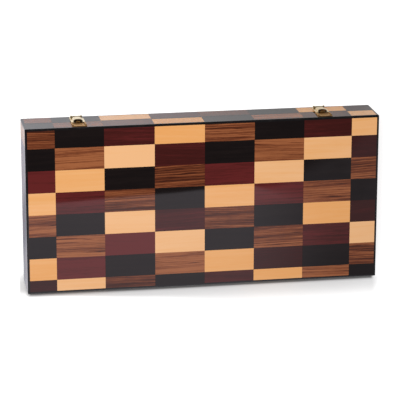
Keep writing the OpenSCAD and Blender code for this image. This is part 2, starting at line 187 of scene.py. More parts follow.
class Shader:
    """A node tree under construction, for a material or for the world."""

    def __init__(self, owner: bpy.types.Material | bpy.types.World) -> None:
        """Empties the owner's node tree.

        Args:
            owner: The material or world to build.
        """
        owner.use_nodes = True
        self.tree = owner.node_tree
        self.tree.nodes.clear()

    def node(self, kind: str, inputs: dict[str | int, Any] | None = None, **settings: Any) -> bpy.types.Node:
        """Adds one node.

        Args:
            kind: The node's type.
            inputs: Values or links by the socket's name or number.
            settings: The node's properties, which are set before its inputs.

        Returns:
            The node.
        """
        made = self.tree.nodes.new(kind)
        for key, value in settings.items():
            setattr(made, key, value)
        for key, value in (inputs or {}).items():
            self.feed(made.inputs[key], value)
        return made

    def feed(self, socket: Socket, value: Any) -> None:
        """Gives a socket a link or a constant.

        Args:
            socket: The node's input.
            value: A number in the shader, a socket, a colour or a plain number.
        """
        value = value.socket if isinstance(value, Val) else value
        if isinstance(value, Socket):
            self.tree.links.new(value, socket)
        elif socket.type == "RGBA" and len(value) == 3:
            socket.default_value = (*value, 1.0)
        else:
            socket.default_value = value

    def split(self, vector: Socket) -> tuple[Val, Val, Val]:
        """The three numbers of a vector."""
        made = self.node("ShaderNodeSeparateXYZ", {0: vector})
        return tuple(Val(self, output) for output in made.outputs)

    def coords(self, kind: str = "Object") -> tuple[Val, Val, Val]:
        """The point's place in metres in the row frame or, with Generated, a direction seen in the world."""
        return self.split(self.node("ShaderNodeTexCoord").outputs[kind])

    def rays(self, *kinds: str) -> list[Val]:
        """One where a ray is of a kind, otherwise zero, for each of the kinds."""
        path = self.node("ShaderNodeLightPath")
        return [Val(self, path.outputs[kind]) for kind in kinds]

    def texture(self, kind: str, place: tuple, inputs: dict[str, float], **settings: Any) -> Val:
        """A texture's first output.

        Args:
            kind: The node's type.
            place: Where to read it, as three numbers.
            inputs: The node's inputs other than the place.
            settings: The node's properties.

        Returns:
            The output.
        """
        vector = self.node("ShaderNodeCombineXYZ", dict(enumerate(place))).outputs[0]
        return Val(self, self.node(kind, {"Vector": vector, **inputs}, **settings).outputs[0])

    def noise(
        self, place: tuple, detail: float = 2.0, roughness: float = 0.5, distortion: float = 0.0
    ) -> Val:
        """Smooth noise about 0.5.

        Args:
            place: Where to read it, as three numbers in cells.
            detail: Octaves.
            roughness: Share of each finer octave.
            distortion: Warp of the cells.

        Returns:
            The noise's value.
        """
        inputs = {"Scale": 1.0, "Detail": detail, "Roughness": roughness, "Distortion": distortion}
        return self.texture("ShaderNodeTexNoise", place, inputs)

    def even_noise(self, scale: float, **settings: float) -> Val:
        """Noise that is as fine in every direction, its scale in cells per metre."""
        return self.noise(tuple(place * scale for place in self.coords()), **settings)

    def mix(self, factor: Val | float, first: Any, second: Any) -> Socket:
        """A colour between two, the first at factor 0 and the second at 1."""
        return self.node("ShaderNodeMix", {0: factor, 6: first, 7: second}, data_type="RGBA").outputs[2]

    def ramp(self, value: Val, stops: list[tuple[float, Colour]]) -> Socket:
        """A colour looked up along a ramp.

        Args:
            value: The place on the ramp.
            stops: Its places and colours in order.

        Returns:
            The colour.
        """
        made = self.node("ShaderNodeValToRGB", {0: value})
        elements = made.color_ramp.elements
        while len(elements) < len(stops):
            elements.new(1.0)
        for element, (place, colour) in zip(elements, stops):
            element.position = place
            element.color = (*colour, 1.0)
        return made.outputs[0]

    def random_by(self, number: Val) -> tuple[Val, Val, Val]:
        """Three random numbers that depend on one whole number."""
        made = self.node("ShaderNodeTexWhiteNoise", {"W": number}, noise_dimensions="1D")
        return self.split(made.outputs["Color"])

    def bump(self, height: Val, strength: float, distance: float) -> Socket:
        """A normal bent by a height."""
        inputs = {"Strength": strength, "Distance": distance, "Height": height}
        return self.node("ShaderNodeBump", inputs).outputs[0]

    def surface(self, **inputs: Any) -> None:
        """Ends the material with one Principled surface; underscores stand for spaces in socket names."""
        named = {key.replace("_", " "): value for key, value in inputs.items()}
        principled = self.node("ShaderNodeBsdfPrincipled", named)
        self.node("ShaderNodeOutputMaterial", {"Surface": principled.outputs[0]})


class Finish:
    """Base of all finishes: builds its material once and hands it out."""

    _made: dict[Any, bpy.types.Material] = {}

    def material(self) -> bpy.types.Material:
        """The finish's material, built on first use."""
        if self not in Finish._made:
            made = bpy.data.materials.new(self.title)
            self.build(Shader(made))
            Finish._made[self] = made
        return Finish._made[self]

    def build(self, shader: Shader) -> None:
        """Builds the node tree; each finish has its own."""
        raise NotImplementedError


@dataclass(frozen=True)
class Wood(Finish):
    """What all woods have: a dark, a middle and a light tone."""

    title: str
    dark: Colour
    middle: Colour
    light: Colour

    def tone(self, shader: Shader, figure: Val) -> Socket:
        """The wood's colour by a figure about 0.5."""
        return shader.ramp(figure, [(0.3, self.dark), (0.5, self.middle), (0.7, self.light)])


@dataclass(frozen=True)
class InlaidWood(Wood):
    """One wood of the case's inlay under clear high-gloss lacquer; each block has its own figure."""

    streak_pitch: float
    streak_run: float
    bands: float
    streaks: float
    lines: float
    fibre: float
    block_drift: float
    first_block: int
    sizes: CaseSizes
    gloss_roughness: float = 0.015
    fibre_pitch: float = 0.5 * MM
    fibre_run: float = 14 * MM
    tilt: float = 0.09
    wave: float = 1.6 * MM
    wave_run: float = 75 * MM
    wave_pitch: float = 25 * MM
    band_pitches: float = 4.5
    line_pitches: float = 2.2
    line_wid: float = 0.03
    stain_wid: float = 3.1 * MM
    end_reach: float = 1.2 * MM
    low_share: float = 0.04
    ripples: float = 9
    ripple_strength: float = 0.05
    ripple_t: float = 0.6 * MM
    faces_apart: int = 160

    def build(self, shader: Shader) -> None:
        """Streaks and fibres along the grain, shifted and tinted block by block, black beside the banding."""
        x, y, z = shader.coords()
        at_end = abs(x) > self.sizes.half_len - self.end_reach
        shift_a, shift_b, drift = shader.random_by(self.block_number(x, y, z, at_end))
        along = x + (y - x) * at_end
        across = y + z - y * at_end
        # The blocks' random numbers, multiplied, put each block at a place of its own in every noise
        bend = shader.noise((along / self.wave_run, across / self.wave_pitch, shift_a * 40), detail=1)
        across = across + (shift_b - 0.5) * self.tilt * along + (bend - 0.5) * self.wave
        run = along / self.streak_run + shift_a * 60
        band = shader.noise((run, across / (self.band_pitches * self.streak_pitch), shift_b * 30))
        streak = shader.noise((run, across / self.streak_pitch, shift_b * 60), detail=4, roughness=0.6)
        line_place = (run * 0.8, across / (self.line_pitches * self.streak_pitch), drift * 50)
        line = abs(shader.noise(line_place, detail=1) - 0.5).fall(0.0, self.line_wid)
        fibre_place = (along / self.fibre_run, across / self.fibre_pitch, shift_a * 60)
        fibre = shader.noise(fibre_place, roughness=0.6)
        figure = (
            0.5
            + (band - 0.5) * self.bands
            + (streak - 0.5) * self.streaks
            - line * self.lines
            + (fibre - 0.5) * self.fibre
            + (drift - 0.5) * self.block_drift
        )
        shader.surface(
            Base_Color=shader.mix(self.stained(x, y, z), self.tone(shader, figure), BANDING_BLACK),
            Roughness=self.gloss_roughness,
            IOR=LACQUER_IOR,
            Normal=shader.bump(
                shader.even_noise(self.ripples, detail=1), self.ripple_strength, self.ripple_t),
        )

    def stained(self, x: Val, y: Val, z: Val) -> Val:
        """One on the narrow strip along the case's outer edges that the banding's black has stained."""
        inner = self.stain_wid
        near = (abs(x) > self.sizes.half_len - inner) + (abs(y) > self.sizes.half_wid - inner)
        return near + (z < inner) + (z > self.sizes.height - inner) > 1.5

    def block_number(self, x: Val, y: Val, z: Val, at_end: Val) -> Val:
        """A whole number that is the same all over one block.

        Args:
            x: Place along the case.
            y: Place across the case.
            z: Height.
            at_end: One on the two ends of the case.

        Returns:
            The block's number.
        """
        column = sum((x > joint for joint in self.sizes.joints_x), 0.0)
        row = sum((y < joint for joint in self.sizes.joints_y), 0.0)
        end_row = sum((y < joint for joint in self.sizes.joints_end), 0.0)
        columns, first_end_row = len(self.sizes.joints_x) + 1, 11
        row = row + (end_row + first_end_row - row) * at_end
        above = (z > self.sizes.seam_z) * self.faces_apart
        below = (z < self.sizes.height * self.low_share) * (2 * self.faces_apart)
        return column + row * columns + above + below + self.first_block


@dataclass(frozen=True)
class PlainWood(Wood):
    """Wood in one length, for fields, points, rails and turned pieces, under a satin finish."""

    streak_pitch: float = 3.2 * MM
    streak_run: float = 60 * MM
    spread: float = 1.1
    fibre: float = 0.5
    roughness: float = 0.32
    fibre_pitch: float = 0.4 * MM
    fibre_run: float = 10 * MM
    wave: float = 2.2 * MM
    pore_depth: float = 0.05 * MM
    slice_t: float = 0.0
    slice_lean: float = 0.8

    def build(self, shader: Shader) -> None:
        """Streaks, fibres and open pores along X or, in sliced pieces, across it, each slice its own."""
        x, y, z = shader.coords()
        if self.slice_t:
            shift_a, shift_b, _ = shader.random_by((x / self.slice_t).floor())
            lean = shift_b * (2 * self.slice_lean) - self.slice_lean
            x, y, z = y + z * lean + shift_a * 3, z - y * lean + shift_b, x * 0.3
        bend = shader.noise((x * 12, (y + z) * 40, 0.0), detail=1)
        across = y + z + (bend - 0.5) * self.wave
        streak_place = (x / self.streak_run, across / self.streak_pitch, z * 20)
        streak = shader.noise(streak_place, detail=3, roughness=0.6, distortion=0.3)
        fibre = shader.noise((x / self.fibre_run, across / self.fibre_pitch, z * 90), roughness=0.6)
        figure = 0.5 + (streak - 0.5) * self.spread + (fibre - 0.5) * self.fibre
        shader.surface(
            Base_Color=self.tone(shader, figure),
            Roughness=self.roughness + (fibre - 0.5) * 0.15,
            IOR=LACQUER_IOR,
            Normal=shader.bump(fibre, 0.35, self.pore_depth),
        )


@dataclass(frozen=True)
class BlackLacquer(Finish):
    """Black edge strips and rims under the same gloss, a little rubbed."""

    title: str = "black_edge_lacquer"
    colour: Colour = BANDING_BLACK
    rubbed: Colour = (0.014, 0.012, 0.012)
    roughness: float = 0.06

    def build(self, shader: Shader) -> None:
        """Black with faint long fibres and slightly duller patches."""
        x, y, z = shader.coords()
        fibre = shader.noise((x * 120, y * 120, z * 900))
        patch = shader.even_noise(22, detail=3)
        shader.surface(
            Base_Color=shader.mix(fibre.rise(0.45, 0.75), self.colour, self.rubbed),
            Roughness=self.roughness + patch.rise(0.5, 0.8) * 0.08,
            IOR=LACQUER_IOR,
            Normal=shader.bump(patch, 0.06, 0.4 * MM),
        )


@dataclass(frozen=True)
class Brass(Finish):
    """Polished brass with fine rub marks and a thin brown tarnish in patches."""

    title: str
    bright: Colour = (0.87, 0.62, 0.27)
    tarnish: Colour = (0.42, 0.23, 0.07)
    roughness: float = 0.16
    tarnish_from: float = 0.56

    def build(self, shader: Shader) -> None:
        """Metal whose colour and polish vary with patches and rub marks."""
        x, y, z = shader.coords()
        patch = shader.even_noise(260, detail=4, roughness=0.6)
        rubs = shader.noise((x * 700, y * 3000, z * 5200))
        old = patch.rise(self.tarnish_from, self.tarnish_from + 0.2)
        shader.surface(
            Base_Color=shader.mix(old * 0.7, self.bright, self.tarnish),
            Metallic=1.0,
            Roughness=self.roughness + old * 0.18 + (rubs - 0.5) * 0.08,
            Normal=shader.bump(rubs, 0.12, 0.02 * MM),
        )


@dataclass(frozen=True)
class Felt(Finish):
    """Pressed wool felt: a mottled colour and a fuzzy surface."""

    title: str = "burgundy_felt"
    colour: Colour = (0.16, 0.018, 0.022)
    pale: Colour = (0.26, 0.045, 0.05)

    def build(self, shader: Shader) -> None:
        """Fine fuzz over soft mottling, with a constant sheen."""
        fuzz = shader.even_noise(2600, detail=4, roughness=0.75)
        mottle = shader.even_noise(150, detail=3)
        shader.surface(
            Base_Color=shader.mix((fuzz * 0.6 + mottle * 0.4).rise(0.35, 0.7), self.colour, self.pale),
            Roughness=0.95,
            Sheen_Weight=0.3,
            Sheen_Roughness=0.5,
            Sheen_Tint=(1.0, 0.62, 0.6, 1.0),
            Normal=shader.bump(fuzz, 0.7, 0.25 * MM),
        )


@dataclass(frozen=True)
class Leather(Finish):
    """Grained dark leather with worn high spots."""

    title: str = "cup_leather"
    colour: Colour = (0.035, 0.014, 0.009)
    worn: Colour = (0.10, 0.042, 0.022)

    def build(self, shader: Shader) -> None:
        """Pebbled grain from Voronoi cells, rubbed lighter in patches."""
        cells = {"Scale": 850.0}
        edge = shader.texture("ShaderNodeTexVoronoi", shader.coords(), cells, feature="DISTANCE_TO_EDGE")
        crease = edge.rise(0.0, 0.16)
        patch = shader.even_noise(60, detail=4)
        wear = patch.rise(0.48, 0.75)
        shader.surface(
            Base_Color=shader.mix(wear * crease, self.colour, self.worn),
            Roughness=0.5 - wear * 0.12,
            Normal=shader.bump(crease + patch * 0.3, 0.55, 0.16 * MM),
        )


@dataclass(frozen=True)
class DicePlastic(Finish):
    """Polished solid plastic with a faint swirl."""

    title: str
    colour: Colour
    swirl: Colour

    def build(self, shader: Shader) -> None:
        """A slow swirl of two near colours."""
        swirl = shader.even_noise(90, detail=3, distortion=1.5)
        shader.surface(
            Base_Color=shader.mix(swirl.rise(0.4, 0.7), self.colour, self.swirl),
            Roughness=0.14 + swirl * 0.05,
            Subsurface_Weight=0.05,
            Subsurface_Radius=(0.004, 0.003, 0.002),
        )


@dataclass(frozen=True)
class Thread(Finish):
    """Waxed sewing thread."""

    title: str = "waxed_thread"
    colour: Colour = (0.42, 0.28, 0.14)

    def build(self, shader: Shader) -> None:
        """Twist lines along the thread."""
        twist = shader.even_noise(3000, detail=1)
        shader.surface(
            Base_Color=shader.mix(twist, self.colour, tuple(c * 1.3 for c in self.colour)),
            Roughness=0.6,
            Normal=shader.bump(twist, 0.4, 0.05 * MM),
        )


class Woods:
    """The woods of the whole set."""

    def __init__(self, sizes: CaseSizes) -> None:
        """Sets the figure of each wood; their blocks are numbered 1000 apart, so that no two share a number.

        Args:
            sizes: The case's sizes, which place the blocks.
        """
        self.inlay = {
            "walnut": InlaidWood(
                "inlay_walnut", (0.048, 0.0108, 0.0045), (0.166, 0.042, 0.0151), (0.356, 0.12, 0.0454),
                streak_pitch=1.5 * MM, streak_run=210 * MM, bands=0.55, streaks=1.1, lines=0.3, fibre=0.45,
                block_drift=0.32, first_block=0, sizes=sizes),
            "black": InlaidWood(
                "inlay_black", (0.0047, 0.0028, 0.0026), (0.0063, 0.0035, 0.0031), (0.0092, 0.0055, 0.0048),
                streak_pitch=3 * MM, streak_run=120 * MM, bands=0.6, streaks=0.8, lines=0.0, fibre=0.7,
                block_drift=0.1, first_block=1000, sizes=sizes),
            "burgundy": InlaidWood(
                "inlay_burgundy", (0.033, 0.0051, 0.0038), (0.057, 0.0081, 0.0065), (0.12, 0.015, 0.0145),
                streak_pitch=2.6 * MM, streak_run=120 * MM, bands=0.36, streaks=0.5, lines=0.0, fibre=0.4,
                block_drift=0.58, first_block=2000, sizes=sizes),
            "maple": InlaidWood(
                "inlay_maple", (0.845, 0.395, 0.13), (0.875, 0.447, 0.181), (0.905, 0.508, 0.249),
                streak_pitch=3.4 * MM, streak_run=130 * MM, bands=0.26, streaks=0.4, lines=0.0, fibre=0.25,
                block_drift=0.42, first_block=3000, sizes=sizes),
        }
        self.field = PlainWood(
            "field_walnut", (0.10, 0.035, 0.013), (0.19, 0.075, 0.028), (0.29, 0.125, 0.05))
        self.point_light = PlainWood(
            "point_maple", (0.62, 0.33, 0.13), (0.76, 0.45, 0.2), (0.84, 0.54, 0.27), spread=0.8)
        self.point_dark = PlainWood(
            "point_black", (0.006, 0.005, 0.005), (0.011, 0.009, 0.008), (0.022, 0.017, 0.014))
        self.rail = PlainWood(
            "rail_wood", (0.008, 0.005, 0.004), (0.016, 0.009, 0.007), (0.034, 0.019, 0.013))
        self.core = PlainWood(
            "panel_core", (0.24, 0.14, 0.07), (0.34, 0.21, 0.11), (0.45, 0.3, 0.17), roughness=0.6)
        self.checker_light = PlainWood(
            "checker_maple", (0.58, 0.31, 0.12), (0.74, 0.44, 0.19), (0.84, 0.54, 0.27),
            roughness=0.28, slice_t=Checkers.pitch)
        self.checker_dark = PlainWood(
            "checker_black", (0.006, 0.004, 0.004), (0.014, 0.009, 0.008), (0.032, 0.019, 0.014),
            roughness=0.26, slice_t=Checkers.pitch)


def dress(node: str, finish: Finish, nodes: dict[str, bpy.types.Object]) -> None:
    """Gives a CAD node a finish in all its material slots.

    Args:
        node: The node's name.
        finish: What to put on it.
        nodes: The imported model's nodes.
    """
    item = nodes[node]
    if not item.material_slots:
        item.data.materials.append(finish.material())
    for slot in item.material_slots:
        slot.material = finish.material()
    LOG.info("dressed %s in %s", node, finish.title)


def shift(x: float, y: float, z: float) -> Matrix:
    """A move."""
    return Matrix.Translation((x, y, z))


def turn(degrees: float, axis: str) -> Matrix:
    """A turn about an axis."""
    return Matrix.Rotation(math.radians(degrees), 4, axis)


def arc(centre: tuple[float, float], radius: float, start: float, end: float, steps: int) -> Outline:
    """Points on an arc, angles in degrees."""
    turns = [math.radians(start + (end - start) * i / steps) for i in range(steps + 1)]
    return [(centre[0] + radius * math.cos(t), centre[1] + radius * math.sin(t)) for t in turns]


def mirrored(half: Outline) -> Outline:
    """A half section from one end to its middle, completed by its mirror image."""
    return [*half, *((-along, radius) for along, radius in reversed(half))]


ALONG_X = turn(90, "Y")
OUT_OF_LATCH_SIDE = turn(-90, "X")
CUBE_FACES = [turn(0, "X"), turn(180, "X"), turn(90, "X"), turn(-90, "X"), turn(90, "Y"), turn(-90, "Y")]


def add_object(name: str, data: Any, matrix: Matrix = Matrix()) -> bpy.types.Object:
    """Puts new data into the scene.

    Args:
        name: The object's name.
        data: Its mesh, camera or light.
        matrix: Its place.

    Returns:
        The object.
    """
    made = bpy.data.objects.new(name, data)
    made.matrix_world = matrix
    bpy.context.scene.collection.objects.link(made)
    return made


def mesh_from(form: Form, name: str, keep: bool = False) -> bpy.types.Mesh:
    """Turns a bmesh into a mesh.

    Args:
        form: The bmesh, which is freed unless it is to be kept.
        name: The mesh's name.
        keep: True keeps the bmesh.

    Returns:
        The mesh.
    """
    mesh = bpy.data.meshes.new(name)
    form.to_mesh(mesh)
    if not keep:
        form.free()
    return mesh


def place_piece(
    name: str,
    form: Form,
    finishes: Iterable[Finish],
    body: str,
    stands_for: Iterable[str] = (),
    crease: float = 35.0,
) -> None:
    """Turns a bmesh into a piece that rides on a body.

    Args:
        name: The piece's name.
        form: Its shape, in the row frame.
        finishes: Its finishes, in the order of the faces' material numbers.
        body: The body that it moves with.
        stands_for: The CAD nodes that it replaces.
        crease: Edges sharper than this many degrees stay sharp.
    """
    bmesh.ops.remove_doubles(form, verts=form.verts, dist=1e-7)
    bmesh.ops.recalc_face_normals(form, faces=form.faces)
    mesh = mesh_from(form, name)
    for finish in finishes:
        mesh.materials.append(finish.material())
    mesh.shade_smooth()
    mesh.set_sharp_from_angle(angle=math.radians(crease))
    piece = add_object(name, mesh)
    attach(piece, body)
    if stands_for:
        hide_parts(*stands_for)
    LOG.info("made %s: %d faces on %s", name, len(mesh.polygons), body)


def edges_of(parts: Iterable[bmesh.types.BMFace | bmesh.types.BMVert]) -> list[bmesh.types.BMEdge]:
    """The edges of some faces or at some vertices, each once and in the same order in every run."""
    edges = (edge for part in parts for edge in getattr(part, "edges", None) or part.link_edges)
    return list(dict.fromkeys(edges))


def bevel_edges(form: Form, edges: Iterable[bmesh.types.BMEdge], width: float, segments: int = 2) -> None:
    """Rounds edges of a bmesh by a width."""
    bmesh.ops.bevel(
        form, geom=list(edges), offset=width, segments=segments, profile=0.5,
        affect="EDGES", material=-1, clamp_overlap=True)


def append_form(
    form: Form, part: Form, matrix: Matrix = Matrix(), material: int = 0, keep: bool = False
) -> None:
    """Adds a part to a bmesh.

    Args:
        form: The bmesh to add to.
        part: What to add; it is freed unless it is to be kept.
        matrix: Where to put it.
        material: The faces' material number, or -1 to leave the part's own.
        keep: True keeps the part.
    """
    mesh = mesh_from(part, "part", keep)
    mesh.transform(matrix)
    if material >= 0:
        for face in mesh.polygons:
            face.material_index = material
    form.from_mesh(mesh)
    bpy.data.meshes.remove(mesh)


def carved(form: Form, cutter: Form) -> Form:
    """Cuts one closed form out of another.

    Args:
        form: What is cut; it is freed.
        cutter: What cuts it; it is freed.

    Returns:
        The cut form.
    """
    made = []
    for name, source in (("target", form), ("cutter", cutter)):
        bmesh.ops.recalc_face_normals(source, faces=source.faces)
        made.append(add_object(name, mesh_from(source, name)))
    modifier = made[0].modifiers.new("carve", "BOOLEAN")
    modifier.operation = "DIFFERENCE"
    modifier.solver = "EXACT"
    modifier.object = made[1]
    evaluated = made[0].evaluated_get(bpy.context.evaluated_depsgraph_get())
    result = bmesh.new()
    result.from_mesh(evaluated.to_mesh())
    evaluated.to_mesh_clear()
    for item in made:
        mesh = item.data
        bpy.data.objects.remove(item)
        bpy.data.meshes.remove(mesh)
    return result


def add_box(form: Form, low: Vector, high: Vector, rounding: float = 0.0, segments: int = 2) -> None:
    """Adds a box between two corners, its edges rounded.

    Args:
        form: The bmesh to add to.
        low: Lowest corner.
        high: Highest corner.
        rounding: Width of the rounding.
        segments: Steps of the rounding.
    """
    matrix = Matrix.Translation((low + high) / 2) @ Matrix.Diagonal((*(high - low), 1.0))
    made = bmesh.ops.create_cube(form, size=1.0, matrix=matrix)
    if rounding > 0:
        bevel_edges(form, edges_of(made["verts"]), rounding, segments)


def rounded_cube(side: float, rounding: float) -> Form:
    """A cube about the origin with well rounded edges."""
    form = bmesh.new()
    add_box(form, Vector((-side / 2,) * 3), Vector((side / 2,) * 3), rounding, 5)
    return form


def add_plate(form: Form, width: float, low: float, high: float, thickness: float, corner: float) -> None:
    """Adds an upright plate with its back on y = 0, its corners round and its front rim softened.

    Args:
        form: The bmesh to add to.
        width: Width along X, half on each side.
        low: Height of its lower edge.
        high: Height of its upper edge.
        thickness: Thickness along Y.
        corner: Radius of the four corners.
    """
    plate = bmesh.new()
    add_box(plate, Vector((-width / 2, 0, low)), Vector((width / 2, thickness, high)))
    across = [edge for edge in plate.edges if abs(edge.verts[0].co.y - edge.verts[1].co.y) > thickness / 2]
    bevel_edges(plate, across, corner, 5)
    front = [face for face in plate.faces if abs(face.calc_center_median().y - thickness) < 1e-6]
    bevel_edges(plate, edges_of(front), 0.25 * MM)
    append_form(form, plate)


def draw_line(form: Form, points: Iterable[tuple]) -> list[bmesh.types.BMVert | bmesh.types.BMEdge]:
    """Draws a line through points and hands out its vertices, then its edges."""
    verts = [form.verts.new(point) for point in points]
    return verts + [form.edges.new(pair) for pair in zip(verts, verts[1:])]


def add_lathe(form: Form, outline: Outline, matrix: Matrix, steps: int = 48) -> None:
    """Adds a turned form.

    Args:
        form: The bmesh to add to.
        outline: Points of the half section as (place on the axis, radius), from end to end.
        matrix: Takes the axis, local Z, into place.
        steps: Steps round the axis.
    """
    turned = bmesh.new()
    section = draw_line(turned, ((radius, 0, along) for along, radius in outline))
    bmesh.ops.spin(
        turned, geom=section, cent=(0, 0, 0), axis=(0, 0, 1), angle=math.tau, steps=steps,
        use_merge=True, use_duplicate=False)
    bmesh.ops.remove_doubles(turned, verts=turned.verts, dist=1e-7)
    append_form(form, turned, matrix)


def draw_out(form: Form, made: dict[str, list], length: float) -> None:
    """Moves the new vertices of an extrusion along X."""
    moved = [item for item in made["geom"] if isinstance(item, bmesh.types.BMVert)]
    bmesh.ops.translate(form, vec=(length, 0, 0), verts=moved)


def add_prism(form: Form, outline: Outline, start: float, end: float, rounding: float) -> None:
    """Adds an outline in Y and Z drawn out along X, its rims softened.

    Args:
        form: The bmesh to add to.
        outline: Points of the outline in order.
        start: X of one end.
        end: X of the other end.
        rounding: Width of the softening.
    """
    prism = bmesh.new()
    face = prism.faces.new([prism.verts.new((start, y, z)) for y, z in outline])
    draw_out(prism, bmesh.ops.extrude_face_region(prism, geom=[face], use_keep_orig=True), end - start)
    ends = [item for item in prism.faces if len(item.verts) == len(outline)]
    bevel_edges(prism, edges_of(ends), rounding)
    append_form(form, prism)


def add_strip(form: Form, path: Outline, width: float, thickness: float) -> None:
    """Adds a bent strip of sheet, its middle line given in Y and Z and its width along X.

    Args:
        form: The bmesh to add to.
        path: Points of the middle line.
        width: Width along X.
        thickness: Thickness of the sheet.
    """
    strip = bmesh.new()
    edges = draw_line(strip, ((-width / 2, y, z) for y, z in path))[len(path):]
    draw_out(strip, bmesh.ops.extrude_edge_only(strip, edges=edges), width)
    thicken(strip, thickness)
    append_form(form, strip)


def thicken(form: Form, thickness: float) -> None:
    """Gives an open sheet its thickness, half on each side, and softens its rims."""
    bmesh.ops.recalc_face_normals(form, faces=form.faces)
    form.normal_update()
    shifts = {vert: vert.normal * thickness / 2 for vert in form.verts}
    for vert, way in shifts.items():
        vert.co += way
    bmesh.ops.solidify(form, geom=form.faces, thickness=thickness)
    bmesh.ops.recalc_face_normals(form, faces=form.faces)
    edges = [edge for edge in edges_of(form.faces) if edge.is_manifold]
    sharp = [edge for edge in edges if edge.calc_face_angle() > math.radians(40)]
    bevel_edges(form, sharp, thickness * 0.25)


@dataclass
class Case:
    """The two halves: every wooden CAD node gets its finish."""

    woods: Woods
    nodes: dict[str, bpy.types.Object]

    def dress(self) -> None:
        """Dresses both halves, the hinges' leaves and pins and the cups' linings."""
        black, felt, brass = BlackLacquer(), Felt(), Brass("polished_brass")
        rail = self.woods.rail
        finishes = {
            **{f"inlay_{wood}": finish for wood, finish in self.woods.inlay.items()},
            "edge_banding": black,
            "rim": black,
            "panel": self.woods.core,
            "hinge_rail": rail,
            "latch_rail": rail,
            "left_rail": rail,
            "right_rail": rail,
            "tray_divider": rail,
            "playing_field": self.woods.field,
            "points_light": self.woods.point_light,
            "points_dark": self.woods.point_dark,
            "tray_lining": felt,
        }
        for half, (name, finish) in product(Half, finishes.items()):
            dress(f"{half.value}_{name}", finish, self.nodes)
        for side in Side:
            dress(f"{side.word}_cup_lining", felt, self.nodes)
            for name in ("hinge_base_leaf", "hinge_lid_leaf", "hinge_pin"):
                dress(f"{side.word}_{name}", brass, self.nodes)


